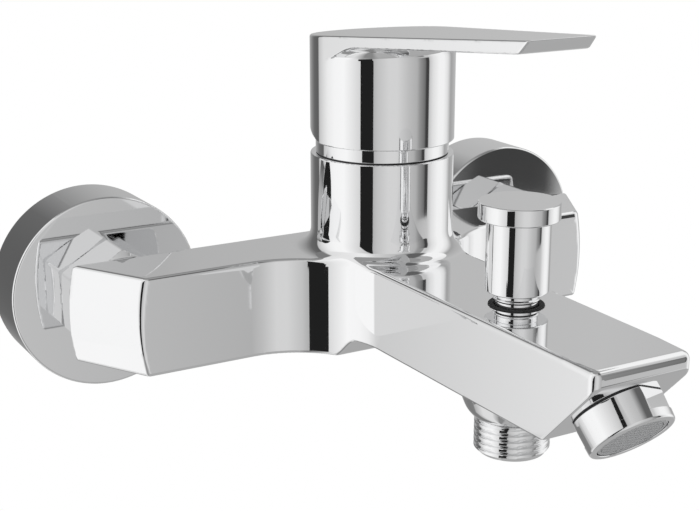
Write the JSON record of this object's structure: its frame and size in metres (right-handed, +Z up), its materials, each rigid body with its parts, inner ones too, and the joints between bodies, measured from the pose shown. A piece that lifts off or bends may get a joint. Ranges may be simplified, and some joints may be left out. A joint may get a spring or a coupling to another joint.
{
  "type": "wall mounted bath mixer faucet",
  "caption": "Wall mounted single-lever bath and shower mixer with eccentric unions, escutcheons, lift-up diverter, threaded shower outlet and slanted aerator.",
  "frame": {"origin": "on the wall plane, midway between the two inlets", "axes": "+Z up, +Y into the wall, +X to the right as seen from the room"},
  "size_m": [0.2104, 0.2042, 0.1182],
  "materials": {
    "chrome": "polished chrome plate over brass",
    "brass": "turned brass",
    "steel": "stainless steel, turned",
    "rubber": "black sealing rubber",
    "white_plastic": "moulded acetal, natural white",
    "grey_plastic": "moulded acetal, grey",
    "ceramic": "lapped alumina ceramic"
  },
  "bodies": {
    "root": {"mixer_body": "chrome", "cartridge_base": "white_plastic", "cartridge_housing": "white_plastic", "fixed_disc": "ceramic", "cartridge_nut": "brass", "cover_ring": "chrome", "port_seal_hot": "rubber", "port_seal_cold": "rubber", "port_seal_mixed": "rubber", "diverter_gland": "chrome", "diverter_wiper": "rubber", "diverter_stem_seal": "rubber", "diverter_gland_seal": "rubber", "diverter_spring": "steel", "shower_outlet": "chrome", "aerator_housing": "chrome", "aerator_gasket": "rubber", "aerator_jet_plate": "grey_plastic", "aerator_cage": "grey_plastic", "aerator_grid": "grey_plastic", "escutcheon_left": "chrome", "escutcheon_seal_left": "rubber", "eccentric_union_left": "brass", "union_nut_left": "chrome", "sealing_washer_left": "rubber", "inlet_nipple_left": "brass", "check_valve_left": "grey_plastic", "escutcheon_right": "chrome", "escutcheon_seal_right": "rubber", "eccentric_union_right": "brass", "union_nut_right": "chrome", "sealing_washer_right": "rubber", "inlet_nipple_right": "brass", "check_valve_right": "grey_plastic"},
    "lever": {"handle": "chrome", "handle_grub_screw": "steel", "handle_plug": "grey_plastic", "lever_spindle": "brass"},
    "carrier": {"lever_carrier": "grey_plastic", "pivot_pin": "steel"},
    "disc": {"moving_disc": "ceramic", "disc_driver": "grey_plastic"},
    "diverter": {"diverter_knob": "chrome", "diverter_stem": "steel", "diverter_upper_seal": "rubber", "diverter_plunger": "brass", "diverter_lower_seal": "rubber"}
  },
  "joints": [
    {"name": "lever_turn", "type": "hinge", "parent": "root", "child": "carrier", "pos_m": [0, -0.06, 0.0485], "axis": [0, 0, 1], "range_deg": [-45, 45]},
    {"name": "lever_tilt", "type": "hinge", "parent": "carrier", "child": "lever", "pos_m": [0, -0.06, 0.0485], "axis": [-1, 0, 0], "range_deg": [0, 25]},
    {"name": "disc_slide", "type": "slide", "parent": "carrier", "child": "disc", "axis": [0, -1, 0], "range_m": [0, 0.00563]},
    {"name": "diverter_lift", "type": "slide", "parent": "root", "child": "diverter", "axis": [0, 0, 1], "range_m": [0, 0.0065], "stiffness_N_per_m": 400, "springref_m": -0.004, "deforming": ["diverter_spring"]}
  ],
  "couplings": [
    {"joint": "disc_slide", "follows": "lever_tilt", "m_per_rad": 0.012897}
  ]
}
